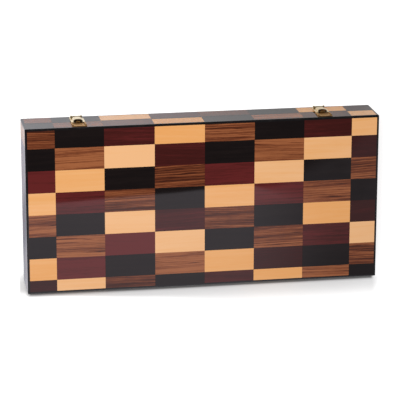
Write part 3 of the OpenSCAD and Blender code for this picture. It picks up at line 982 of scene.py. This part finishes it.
@dataclass
class Latch:
    """One latch, drawn about the seam's middle line on the latch side: X along, Y outwards, Z up."""

    side: Side
    sizes: CaseSizes
    brass: Brass
    # Darker, duller brass for the catch plate: its tarnish patches are wear, its darker overall colour is a
    # painted dark reflection
    old_brass: Brass
    from_middle: float = 167.3 * MM
    sheet: float = 0.8 * MM
    catch_wid: float = 20 * MM
    catch_low: float = 4 * MM
    catch_high: float = 26.5 * MM
    catch_corner: float = 1.6 * MM
    bead_r: float = 1.3 * MM
    bead_low: float = 10 * MM
    bead_high: float = 21.5 * MM
    nose_wid: float = 6 * MM
    nose_r: float = 1.8 * MM
    nose_up: float = 6 * MM
    plate_wid: float = 18 * MM
    plate_low: float = -25 * MM
    plate_high: float = -8.5 * MM
    plate_corner: float = 2 * MM
    pivot_up: float = -16.5 * MM
    pivot_out: float = 2.7 * MM
    pin_r: float = 0.8 * MM
    pin_half: float = 7.8 * MM
    ear_r: float = 2.3 * MM
    ear_t: float = 1.6 * MM
    ear_from: float = 6.2 * MM
    hasp_half: float = 9.3 * MM
    hasp_low: float = -12.5 * MM
    hasp_high: float = 9 * MM
    flange_out: float = 1.5 * MM
    dome_half: float = 6.1 * MM
    dome_rise: float = 3.29 * MM
    dome_share: float = 0.76
    side_bow: float = 0.8
    crown_bow: float = 0.62
    rear_rise: float = 2.9 * MM
    rear_run: float = 5 * MM
    rear_narrowing: float = 0.28
    mouth_slant: float = 4.4 * MM
    hasp_corner: float = 2 * MM
    neck_wid: float = 12 * MM
    curl_turn: float = 320

    def build(self) -> None:
        """Makes the latch's four pieces and takes them into place."""
        word = self.side.word
        place = shift(self.side.value * self.from_middle, self.sizes.half_wid, self.sizes.seam_z)
        for name, form, finish, body in (
            ("latch_catch", self.catch(), self.old_brass, "lid"),
            ("latch_plate", self.plate(), self.brass, "base"),
            ("latch_pin", self.pin(), self.brass, "base"),
            ("latch_hasp", self.hasp(), self.brass, f"{word}_hasp"),
        ):
            bmesh.ops.transform(form, matrix=place, verts=form.verts)
            place_piece(f"{word}_{name}_brass", form, [finish], body, [f"{word}_{name}"])

    def catch(self) -> Form:
        """Catch plate with a bead pressed up along each side and a nose that the dome closes over."""
        raised = bmesh.new()
        low = self.bead_low
        bead = [(low, 0.0), (low, self.bead_r * 0.8), (low + 0.3 * MM, self.bead_r)]
        bead += arc((self.bead_high, 0), self.bead_r, 90, 0, 6)
        for sign in (-1, 1):
            add_lathe(raised, bead, shift(sign * (self.catch_wid / 2 - self.bead_r), self.sheet, 0), 24)
        half = self.nose_wid / 2
        nose = mirrored([(-half, 0.0), (-half, self.nose_r * 0.85), (-half * 0.9, self.nose_r)])
        add_lathe(raised, nose, shift(0, self.sheet, self.nose_up) @ ALONG_X, 28)
        bmesh.ops.bisect_plane(
            raised, geom=[*raised.verts, *raised.edges, *raised.faces], plane_co=(0, self.sheet / 2, 0),
            plane_no=(0, 1, 0), clear_inner=True)
        add_plate(raised, self.catch_wid, self.catch_low, self.catch_high, self.sheet, self.catch_corner)
        return raised

    def plate(self) -> Form:
        """Plate on the base with the two ears that hold the pin."""
        form = bmesh.new()
        add_plate(form, self.plate_wid, self.plate_low, self.plate_high, self.sheet, self.plate_corner)
        ear = [(self.sheet / 2, self.pivot_up - self.ear_r)]
        ear += arc((self.pivot_out, self.pivot_up), self.ear_r, -90, 90, 16)
        ear += [(self.sheet / 2, self.pivot_up + self.ear_r)]
        for sign in (-1, 1):
            add_prism(form, ear, sign * self.ear_from, sign * (self.ear_from + self.ear_t), 0.2 * MM)
        return form

    def pin(self) -> Form:
        """Pin with slightly domed ends."""
        half = self.pin_half
        outline = mirrored([(-half - 0.25 * MM, 0.0), (-half - 0.2 * MM, 0.45 * MM), (-half, self.pin_r)])
        form = bmesh.new()
        add_lathe(form, outline, shift(0, self.pivot_out, self.pivot_up) @ ALONG_X, 20)
        return form

    def hasp(self) -> Form:
        """Dome between two flanges, open at the lid end, and a neck curled round the pin."""
        form = bmesh.new()
        bmesh.ops.create_grid(form, x_segments=44, y_segments=30, size=1.0)
        for vert in form.verts:
            vert.co = self.hasp_point(vert.co.x, (vert.co.y + 1) / 2)
        thicken(form, self.sheet)
        curl = self.pivot_out - self.flange_out + 0.02 * MM
        path = [(self.flange_out, self.hasp_low + 0.5 * MM)]
        path += arc((self.pivot_out, self.pivot_up), curl, 180, 180 + self.curl_turn, 24)
        add_strip(form, path, self.neck_wid, self.sheet * 0.85)
        return form

    def hasp_point(self, across: float, along: float) -> Vector:
        """One point of the hasp's sheet.

        Args:
            across: -1 at the left flange's edge, 1 at the right one's.
            along: 0 at the pivot end, 1 at the mouth.

        Returns:
            The point.
        """
        z = self.hasp_low + along * (self.hasp_high - self.hasp_low)
        cut = max(0.0, self.hasp_corner - min(z - self.hasp_low, self.hasp_high - z))
        flange = self.hasp_half - (self.hasp_corner - math.sqrt(self.hasp_corner**2 - cut**2))
        closing = 1 - min((z - self.hasp_low) / self.rear_run, 1.0)
        shut = math.sqrt(max(0.0, 1 - closing**2))
        rise = max((self.rear_rise + (self.dome_rise - self.rear_rise) * along) * shut, 0.01 * MM)
        half = self.dome_half * (1 - self.rear_narrowing * (1 - shut))
        sign, reach = math.copysign(1, across), abs(across)
        if reach > self.dome_share:
            x = half + (flange - half) * (reach - self.dome_share) / (1 - self.dome_share)
            return Vector((sign * x, self.flange_out, z))
        angle = math.pi / 2 * reach / self.dome_share
        x, height = math.sin(angle) ** self.side_bow, math.cos(angle) ** self.crown_bow
        return Vector(
            (sign * half * x, self.flange_out + rise * height, z - self.mouth_slant * along * height))


@dataclass
class Fasteners:
    """The latches' nails and the hinges' slotted screws."""

    sizes: CaseSizes
    brass: Brass
    nail_x: float = 6.4 * MM
    catch_up: float = 24.6 * MM
    plate_up: float = -22.8 * MM
    nail_r: float = 0.5 * MM
    nail_len: float = 5.9 * MM
    head_r: float = 1.1 * MM
    head_h: float = 0.5 * MM
    hinge_x: float = 150 * MM
    screw_pitch: float = 13 * MM
    screw_y: float = -110.5 * MM
    screw_r: float = 1.1 * MM
    screw_head_r: float = 2 * MM
    screw_head_h: float = 0.8 * MM
    screw_len: float = 9 * MM
    slot_wid: float = 0.5 * MM
    slot_depth: float = 0.35 * MM
    slot_turn: float = 0.7
    slot_step: float = 1.9

    def build(self) -> None:
        """Makes four sets of fasteners, one piece each."""
        for name, up, body in (("catch_nails", self.catch_up, "lid"), ("plate_nails", self.plate_up, "base")):
            form = bmesh.new()
            for side, sign in product(Side, (-1, 1)):
                x = side.value * Latch.from_middle + sign * self.nail_x
                place = shift(x, self.sizes.half_wid, self.sizes.seam_z + up)
                add_lathe(form, self.nail_outline(), place @ OUT_OF_LATCH_SIDE, 20)
            place_piece(f"{name}_brass", form, [self.brass], body, [name])
        screw = self.screw()
        for half, z, facing in (
            (Half.BASE, self.sizes.half_h, 0),
            (Half.LID, 2 * self.sizes.seam_z - self.sizes.half_h, 180),
        ):
            form = bmesh.new()
            for number, (side, place) in enumerate(product(Side, (-1, 0, 1))):
                spot = shift(side.value * self.hinge_x + place * self.screw_pitch, self.screw_y, z)
                slot = Matrix.Rotation(self.slot_turn + self.slot_step * number, 4, "Z")
                append_form(form, screw, spot @ turn(facing, "X") @ slot, keep=True)
            name = f"{half.value}_hinge_screws"
            place_piece(f"{name}_brass", form, [self.brass], half.value, [name])
        screw.free()

    def nail_outline(self) -> Outline:
        """Half section of a round-headed nail, outwards along its axis."""
        sheet, tip = Latch.sheet, -self.nail_len
        shank = [(tip, 0.0), (tip + 1 * MM, self.nail_r), (sheet - 0.05 * MM, self.nail_r)]
        dome_r = (self.head_r**2 + self.head_h**2) / (2 * self.head_h)
        angle = math.degrees(math.asin(self.head_r / dome_r))
        return shank + arc((sheet + self.head_h - dome_r, 0), dome_r, angle, 0, 6)

    def screw(self) -> Form:
        """A countersunk screw with a slot in its head, level with z = 0."""
        form, slot = bmesh.new(), bmesh.new()
        tip, head_r = -self.screw_len, self.screw_head_r
        outline = [
            (tip, 0.0), (tip + 1.5 * MM, self.screw_r), (-self.screw_head_h, self.screw_r),
            (-0.12 * MM, head_r), (0.0, head_r - 0.1 * MM), (0.0, 0.0)]
        add_lathe(form, outline, Matrix(), 28)
        reach, half = head_r + 0.5 * MM, self.slot_wid / 2
        add_box(slot, Vector((-reach, -half, -self.slot_depth)), Vector((reach, half, 1 * MM)))
        return carved(form, slot)


@dataclass
class Checkers:
    """The two rows of turned checkers in the tray."""

    woods: Woods
    count: int = 15
    radius: float = 14 * MM
    thickness: float = 7 * MM
    pitch: float = 7.1 * MM
    first_x: float = 227.8 * MM
    middle_y: float = 90 * MM
    middle_z: float = 20.3 * MM
    edge_r: float = 1.6 * MM
    dish_r: float = 8.6 * MM
    dish_depth: float = 0.6 * MM
    groove_r: float = 11 * MM
    groove_half: float = 0.35 * MM
    groove_depth: float = 0.28 * MM

    def build(self) -> None:
        """Makes one piece per row."""
        for side, colour, finish in (
            (Side.LEFT, "light", self.woods.checker_light),
            (Side.RIGHT, "dark", self.woods.checker_dark),
        ):
            form = bmesh.new()
            for number in range(self.count):
                x = side.value * (self.first_x - number * self.pitch)
                add_lathe(form, self.outline(), shift(x, self.middle_y, self.middle_z) @ ALONG_X, 56)
            body = f"{colour}_checkers"
            place_piece(f"{body}_turned", form, [finish], body, [body])

    def outline(self) -> Outline:
        """Half section of a checker: a dish, a fine ring and round edges, the same on both faces."""
        face = -self.thickness / 2
        half = [
            (face + self.dish_depth, 0.0), (face + self.dish_depth, self.dish_r - 0.5 * MM),
            (face + self.dish_depth * 0.7, self.dish_r - 0.15 * MM), (face + 0.12 * MM, self.dish_r),
            (face, self.dish_r + 0.2 * MM), (face, self.groove_r - self.groove_half),
            (face + self.groove_depth, self.groove_r), (face, self.groove_r + self.groove_half)]
        return mirrored(half + arc((face + self.edge_r, self.radius - self.edge_r), self.edge_r, 180, 90, 6))


@dataclass
class DiceCup:
    """One leather dice cup on its side with its two dice, drawn from its base at the origin along +X."""

    side: Side
    leather: Leather
    thread: Thread
    die: DicePlastic
    pips: DicePlastic
    from_middle: float = 228.3 * MM
    middle_y: float = -30 * MM
    middle_z: float = 29.3 * MM
    radius: float = 21 * MM
    body_r: float = 20.2 * MM
    length: float = 78 * MM
    base_band: float = 9 * MM
    mouth_band: float = 7 * MM
    band_edge: float = 0.35 * MM
    base_t: float = 4 * MM
    bore_r: float = 18.56 * MM
    edge_r: float = 1.1 * MM
    stitch_count: int = 40
    stitch_half: float = 1.15 * MM
    stitch_r: float = 0.36 * MM
    stitch_proud: float = 0.16 * MM
    stitch_inset: float = 1.7 * MM
    die_places: tuple[float, float] = (13 * MM, 28 * MM)
    die_drop: float = 8.94 * MM
    die_side: float = 14 * MM
    die_rounding: float = 1.5 * MM
    pip_r: float = 1.25 * MM
    pip_out: float = 0.45
    pip_step: float = 3.7 * MM

    @property
    def matrix(self) -> Matrix:
        """Takes the cup's drawing into place."""
        facing = turn(180 if self.side is Side.RIGHT else 0, "Z")
        return shift(self.side.value * self.from_middle, self.middle_y, self.middle_z) @ facing

    def build(self) -> None:
        """Makes the cup, its stitches and its dice."""
        body, colour = f"{self.side.word}_cup", "light" if self.side is Side.LEFT else "dark"
        cup, dice = bmesh.new(), bmesh.new()
        add_lathe(cup, self.outline(), self.matrix @ ALONG_X, 72)
        place_piece(f"{body}_leather", cup, [self.leather], body, [f"{self.side.word}_dice_cup"])
        place_piece(f"{body}_stitches", self.stitches(), [self.thread], body)
        for place, top in zip(self.die_places, (5, 3)):
            append_form(dice, self.one_die(top), self.matrix @ shift(place, 0, -self.die_drop), -1)
        place_piece(f"{colour}_dice_rounded", dice, [self.die, self.pips], body, [f"{colour}_dice"])

    def outline(self) -> Outline:
        """Half section of the cup: a band at each end, a rolled lip and the bore."""
        edge, lip = self.edge_r, (self.radius - self.bore_r) / 2
        outline = [(0.0, 0.0), *arc((edge, self.radius - edge), edge, 180, 90, 5)]
        for place, first, second in (
            (self.base_band, self.radius, self.body_r),
            (self.length - self.mouth_band, self.body_r, self.radius),
        ):
            middle = (first + second) / 2
            outline += [(place - self.band_edge, first), (place, middle), (place + self.band_edge, second)]
        outline += arc((self.length - lip, self.bore_r + lip), lip, 90, -90, 8)
        return [*outline, (self.base_t, self.bore_r), (self.base_t, 0.0)]

    def stitches(self) -> Form:
        """Two rings of stitches, one in each band, with a gap where the cup lies on the field."""
        form, stitch = bmesh.new(), bmesh.new()
        shape = Matrix.Diagonal((self.stitch_r, self.stitch_half, self.stitch_r, 1.0))
        bmesh.ops.create_uvsphere(stitch, u_segments=8, v_segments=6, radius=1.0, matrix=shape)
        down = self.stitch_r - self.stitch_proud - self.radius
        rings = (self.base_band - self.stitch_inset, self.length - self.mouth_band + self.stitch_inset)
        for place, number in product(rings, range(1, self.stitch_count)):
            matrix = self.matrix @ turn(360 * number / self.stitch_count, "X") @ shift(place, 0, down)
            append_form(form, stitch, matrix, keep=True)
        stitch.free()
        return form

    def one_die(self, top: int) -> Form:
        """A die about the origin with its pips dished in; opposite faces add up to seven.

        Args:
            top: The number that faces +Z.

        Returns:
            The die, its pips' faces numbered 1.
        """
        front, right = [number for number in (1, 2, 3) if number not in (top, 7 - top)]
        counts = (top, 7 - top, front, 7 - front, right, 7 - right)
        spots = [spot for count, facing in zip(counts, CUBE_FACES) for spot in self.pip_spots(count, facing)]
        cutter = bmesh.new()
        for spot in spots:
            bmesh.ops.create_uvsphere(
                cutter, u_segments=20, v_segments=12, radius=self.pip_r, matrix=Matrix.Translation(spot))
        die = carved(rounded_cube(self.die_side, self.die_rounding), cutter)
        for face in die.faces:
            centre = face.calc_center_median()
            face.material_index = int(any((centre - spot).length < self.pip_r * 1.001 for spot in spots))
        return die

    def pip_spots(self, count: int, facing: Matrix) -> list[Vector]:
        """Centres of one face's pips, just outside the face.

        Args:
            count: The face's number.
            facing: Turns +Z to the face.

        Returns:
            The centres.
        """
        step = self.pip_step
        flat = [(0, 0)] if count % 2 else []
        flat += [(-step, -step), (step, step)] if count > 1 else []
        flat += [(-step, step), (step, -step)] if count > 3 else []
        flat += [(-step, 0), (step, 0)] if count == 6 else []
        height = self.die_side / 2 + self.pip_r * self.pip_out
        return [facing @ Vector((x, y, height)) for x, y in flat]


@dataclass
class DoublingCube:
    """The doubling cube with its six powers of two."""

    ivory: DicePlastic
    paint: DicePlastic
    side: float = 20 * MM
    middle: tuple[float, float, float] = (0.0, 90 * MM, 16.3 * MM)
    rounding: float = 2 * MM
    digit_size: float = 11 * MM
    paint_t: float = 0.04 * MM
    numbers: tuple[int, ...] = (64, 2, 4, 8, 16, 32)

    def build(self) -> None:
        """Makes the cube and its numbers as one piece."""
        form = rounded_cube(self.side, self.rounding)
        for number, facing in zip(self.numbers, CUBE_FACES):
            append_form(form, self.digits(str(number)), facing @ shift(0, 0, self.side / 2), 1)
        bmesh.ops.transform(form, matrix=shift(*self.middle), verts=form.verts)
        body = "doubling_cube"
        place_piece(f"{body}_numbered", form, [self.ivory, self.paint], body, [body])

    def digits(self, text: str) -> Form:
        """A number as a thin raised form in X and Y, centred."""
        curve = bpy.data.curves.new("digits", "FONT")
        curve.body, curve.extrude = text, self.paint_t / self.digit_size
        curve.align_x, curve.align_y = "CENTER", "CENTER"
        item = bpy.data.objects.new("digits", curve)
        mesh = bpy.data.meshes.new_from_object(item)
        mesh.transform(Matrix.Scale(self.digit_size, 4))
        form = bmesh.new()
        form.from_mesh(mesh)
        bpy.data.objects.remove(item)
        bpy.data.curves.remove(curve)
        bpy.data.meshes.remove(mesh)
        return form


@dataclass
class Studio:
    """Camera, floor, world and lamp."""

    sizes: CaseSizes
    focal_px: float = 2176.8
    frame_px: int = 400
    sensor: float = 36.0
    yaw: float = 9.9118
    pitch: float = 16.3169
    roll: float = 0.1025
    eye: tuple[float, float, float] = (-0.250995, -2.78404, 0.948945)
    ambient: float = 0.47
    key_watts: float = 7.0
    key_place: tuple[float, float, float] = (-0.3, 0.4, 1.05)
    key_size: float = 0.5
    floor_half: float = 12.0
    cloth: Colour = (0.87, 0.87, 0.88)
    cool_gloss: Colour = (0.93, 0.99, 1.3)
    cool_end: Colour = (0.8, 0.82, 1.3)
    lift: float = 0.66
    gloss_lift: float = 0.14
    core_dark: float = 0.7
    far_dark: float = 0.65
    end_dark: float = 0.06
    patch_dark: float = 0.4
    right_dark: float = 0.16
    room_tint: Colour = (1.0, 0.93, 1.02)

    def build(self) -> None:
        """Makes the whole studio."""
        self.camera()
        self.floor()
        self.world()
        self.lamp()
        bpy.context.scene.view_settings.view_transform = "Standard"

    def camera(self) -> None:
        """Camera at the photograph's place, found for the case on its hinge side and turned to it lying."""
        yaw, pitch = math.radians(self.yaw), math.radians(self.pitch)
        forward = Vector((math.sin(yaw) * math.cos(pitch), math.cos(yaw) * math.cos(pitch), -math.sin(pitch)))
        right = Vector((math.cos(yaw), -math.sin(yaw), 0))
        up = right.cross(forward)
        roll = Matrix.Rotation(-math.radians(self.roll), 3, forward)
        right, up = roll @ right, roll @ up
        lay = Matrix(((1, 0, 0), (0, 0, 1), (0, -1, 0)))
        axes = Matrix((lay @ right, lay @ up, lay @ -forward)).transposed()
        corner = Vector((-self.sizes.half_len, -self.sizes.half_wid, self.sizes.height))
        data = bpy.data.cameras.new("camera")
        data.sensor_width = self.sensor
        data.lens = self.focal_px * self.sensor / self.frame_px
        data.clip_end = 100
        place = Matrix.Translation(corner + lay @ Vector(self.eye))
        bpy.context.scene.camera = add_object("camera", data, place @ axes.to_4x4())

    def floor(self) -> None:
        """A wide white floor that keeps the case's shadow."""
        form = bmesh.new()
        bmesh.ops.create_grid(form, x_segments=1, y_segments=1, size=self.floor_half)
        mesh = mesh_from(form, "floor")
        made = bpy.data.materials.new("studio_floor")
        self.floor_finish(Shader(made))
        mesh.materials.append(made)
        add_object("floor", mesh)

    def floor_finish(self, shader: Shader) -> None:
        """White cloth, lit up to white where the camera sees it, but for the shade beside the case.

        Args:
            shader: The floor's shader.
        """
        seen, glossy = shader.rays("Is Camera Ray", "Is Glossy Ray")
        core, veil = self.contact_shade(shader)
        far, at_left_end, dim = self.mirrored_floor(shader)
        x = shader.coords()[0]
        at_end = at_left_end * (self.end_dark + dim * self.patch_dark)
        unlit = far * self.far_dark + at_end + x.rise(-0.25, 0.3) * self.right_dark
        hidden = core * self.core_dark + glossy * unlit
        cloth = shader.node("ShaderNodeBsdfDiffuse", {"Color": shader.mix(hidden, self.cloth, (0, 0, 0))})
        cool = shader.mix(at_left_end, self.cool_gloss, self.cool_end)
        mirrored_lift = glossy * (1 - far) * x.fall(-0.25, 0.2) * self.gloss_lift
        strength = seen * (1 - veil) * self.lift + mirrored_lift
        glow = {"Color": shader.mix(glossy, WHITE, cool), "Strength": strength}
        lift = shader.node("ShaderNodeEmission", glow)
        both = shader.node("ShaderNodeAddShader", {0: cloth.outputs[0], 1: lift.outputs[0]})
        shader.node("ShaderNodeOutputMaterial", {"Surface": both.outputs[0]})

    def contact_shade(self, shader: Shader) -> tuple[Val, Val]:
        """The close shadow along the hinge side, on which the photographed case stands.

        Args:
            shader: The floor's shader.

        Returns:
            Its dark core, and the wider strip where only the lamp lights the floor; 0 outside them.
        """
        # Lengths here are in millimetres
        half_len, half_wid = self.sizes.half_len / MM, self.sizes.half_wid / MM
        near_line, core_lean = half_wid + 17.6, 1.1
        tail_from, tail_lean, tail_len, tail_growth, right_growth = 4.9, 9.4, 3, 5.8, 26
        near_share, tail_share, corner_share = 0.4, 0.6, 0.85
        x, y, _ = shader.coords()
        behind = y * (-1 / MM)
        away = behind - near_line
        past_left, past_right = x * (-1 / MM) - half_len, x / MM - half_len
        # The shade widens from the left end of the case to its middle
        along = x.rise(-0.24, 0.0)
        core = (away - along * core_lean).fall(3.2, 5.4) * past_right.fall(8, 16)
        tail_wid = tail_len + along * tail_growth + x.rise(-0.06, 0.08) * right_growth
        tail = (away - tail_from - along * tail_lean) / tail_wid
        veil = 1 - away.rise(5, 8.5) * near_share - tail.rise(0, 1) * tail_share
        # Past the right end, what is nearest to the case stops short
        beside = past_left.fall(-10, -1) * past_right.fall(10, 26) * (behind > half_wid - 5)
        beside = beside * (1 - past_right.rise(9, 15) * away.fall(0, 11))
        beside = beside * (1 - past_right.rise(-1, 7) * away.fall(-14, -2))
        # A small patch at the corner of the left end and the hinge side
        corner = past_left.fall(4.5, 7.5) * past_left.rise(-14, -3)
        corner = corner * behind.rise(98, 120) * behind.fall(128, 141)
        veil = veil * beside
        return core * beside, veil + corner * (1 - veil) * corner_share

    def mirrored_floor(self, shader: Shader) -> tuple[Val, Val, Val]:
        """Where the lacquer sees a dimmer floor.

        Args:
            shader: The floor's shader.

        Returns:
            One far from the case, one close to its left end, and one on the dim patch beside that end.
        """
        x, y, _ = shader.coords()
        from_case = (abs(x) - self.sizes.half_len).maximum(abs(y) - self.sizes.half_wid)
        past_left = -1 * x - self.sizes.half_len
        dim = abs(y + 47 * MM - 5.6 * past_left).fall(15 * MM, 60 * MM)
        return from_case.rise(40 * MM, 120 * MM), (past_left > -1 * MM) * (past_left < 9 * MM), dim

    def world(self) -> None:
        """White to the camera and to gloss, but for the dark side of the room that the big face mirrors."""
        world = bpy.data.worlds.new("studio")
        bpy.context.scene.world = world
        shader = Shader(world)
        camera, glossy, through = shader.rays("Is Camera Ray", "Is Glossy Ray", "Is Transmission Ray")
        glossy = glossy.maximum(through)
        strength = camera + (1 - camera) * (glossy * self.mirrored_room(shader) + (1 - glossy) * self.ambient)
        tint = shader.mix(glossy, WHITE, self.room_tint)
        background = shader.node("ShaderNodeBackground", {"Color": tint, "Strength": strength})
        shader.node("ShaderNodeOutputWorld", {"Surface": background.outputs[0]})

    def mirrored_room(self, shader: Shader) -> Val:
        """How bright the gloss sees the room: a white side, a dark side with a hard edge, and a haze.

        Args:
            shader: The world's shader.

        Returns:
            The brightness, 1 for white.
        """
        edge_back, edge_slope, bend_across, bend_slope = -0.3006, 0.049, 0.2, 0.32
        sharp, blurred, haze_back, haze_across, haze_slope = 0.0004, 0.004, -0.293, 0.212, 0.6
        dark_level, haze_level, smudge_level, white_loss, white_slope = 0.1, 0.12, 0.3, 0.55, 3
        x, y, z = shader.coords("Generated")
        # A direction's slopes over its height: across to the right, back away from the hinge side
        height = z.maximum(0.05)
        across, back = x / height, y / height
        right = (across - bend_across).maximum(0.0)
        edge = edge_back + edge_slope * across - bend_slope * right
        softness = sharp + right.rise(0.0, 0.02) * blurred
        dark = ((back - edge) / softness).rise(-1, 1).maximum(x.fall(-0.7, -0.5))
        haze_edge = haze_back + haze_slope * (across - haze_across)
        haze = (back - haze_edge).fall(-0.006, 0.006)
        smudge = shader.noise((across * 60, back * 90, 0.0))
        # The haze and the fading white stay in the directions that the big face mirrors in the main view
        near = (across < 0.4) * (across > 0.0) * (z > 0.5) * back.rise(-0.42, -0.36)
        white = 1 - white_loss * across.rise(0.19, 0.25) * near + (back + 0.292) * white_slope * near
        dim = dark_level + haze * near * (haze_level + smudge * smudge_level)
        return white + (dim - white) * dark

    def lamp(self) -> None:
        """One soft key from the latch side, high up and left of the middle, unseen in the gloss."""
        data = bpy.data.lights.new("key", "AREA")
        data.shape = "DISK"
        data.size = self.key_size
        data.energy = self.key_watts
        data.color = (1.0, 0.985, 0.96)
        place = Vector(self.key_place)
        aim = (place - Vector((0, 0, self.sizes.height / 2))).to_track_quat("Z", "Y")
        lamp = add_object("key", data, Matrix.Translation(place) @ aim.to_matrix().to_4x4())
        lamp.visible_glossy = False


def main() -> None:
    """Loads the frame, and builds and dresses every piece."""
    logging.basicConfig(level=logging.INFO, format="%(name)s: %(message)s")
    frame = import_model()
    sizes = CaseSizes.from_frame()
    Studio(sizes).build()
    woods = Woods(sizes)
    Case(woods, frame["nodes"]).dress()
    brass = Brass("polished_brass", (0.97, 0.82, 0.52), roughness=0.12)
    # The catch plates' brass is painted darker, a painted dark reflection of what they mirror, with more
    # tarnish patches besides
    old_brass = Brass("catch_brass_painted_dim", (0.57, 0.32, 0.1), (0.26, 0.11, 0.03), 0.4, 0.5)
    for side in Side:
        Latch(side, sizes, brass, old_brass).build()
    Fasteners(sizes, Brass("brass_fasteners", roughness=0.2)).build()
    Checkers(woods).build()
    ivory = DicePlastic("ivory_plastic", (0.83, 0.76, 0.6), (0.88, 0.83, 0.7))
    red = DicePlastic("red_plastic", (0.14, 0.012, 0.014), (0.2, 0.02, 0.02))
    black = DicePlastic("black_paint", (0.01, 0.01, 0.011), (0.018, 0.017, 0.017))
    leather, thread = Leather(), Thread()
    DiceCup(Side.LEFT, leather, thread, ivory, black).build()
    DiceCup(Side.RIGHT, leather, thread, red, ivory).build()
    DoublingCube(ivory, black).build()


if __name__ == "__main__":
    main()
